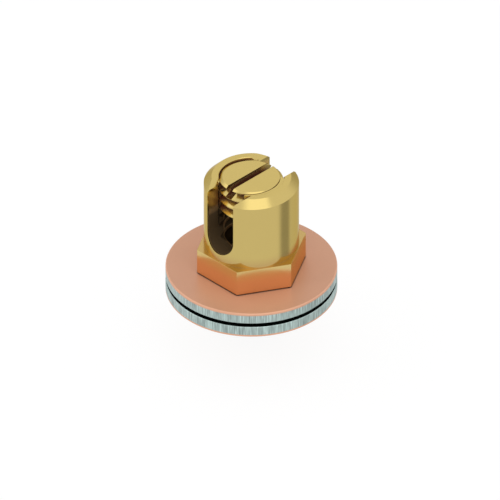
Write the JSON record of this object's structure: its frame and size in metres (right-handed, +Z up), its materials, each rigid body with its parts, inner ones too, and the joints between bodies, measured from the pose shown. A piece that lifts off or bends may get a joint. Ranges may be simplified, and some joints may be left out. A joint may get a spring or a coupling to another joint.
{
  "type": "ground clamp terminal",
  "caption": "Round brass ground terminal with a U-slot and a slotted clamp screw, on a hexagon base with a stud, bimetal washers and a thin nut to grip a tray.",
  "frame": {"origin": "on the stud's axis, at the underside of the upper washer, where the upper face of the tray lies", "axes": "+Z up the stud's axis to the clamp screw, +Y along the conductor slot, +X across the slot"},
  "size_m": [0.0252, 0.0252, 0.0267],
  "materials": {
    "brass": "turned and milled, bright",
    "copper": "rolled copper skin, satin",
    "aluminium": "sheared edge with fine upright streaks"
  },
  "bodies": {
    "terminal": {"terminal_body": "brass", "upper_washer_copper": "copper", "upper_washer_aluminium": "aluminium"},
    "screw": {"clamp_screw": "brass"},
    "lower_washer": {"lower_washer_aluminium": "aluminium", "lower_washer_copper": "copper"},
    "nut": {"fixing_nut": "brass"}
  },
  "joints": [
    {"name": "clamp_screw_travel", "type": "slide", "parent": "terminal", "child": "screw", "axis": [0, 0, 1], "range_m": [-0.00794, 0.00476]},
    {"name": "lower_washer_travel", "type": "slide", "parent": "terminal", "child": "lower_washer", "axis": [0, 0, 1], "range_m": [-0.00508, 0.00057]},
    {"name": "nut_turn", "type": "hinge", "parent": "lower_washer", "child": "nut", "pos_m": [0, 0, -0.00436], "axis": [0, 0, 1], "range_deg": [-1440, 161.58]}
  ],
  "couplings": [
    {"joint": "nut_turn", "follows": "lower_washer_travel", "rad_per_m": 4947.4}
  ]
}
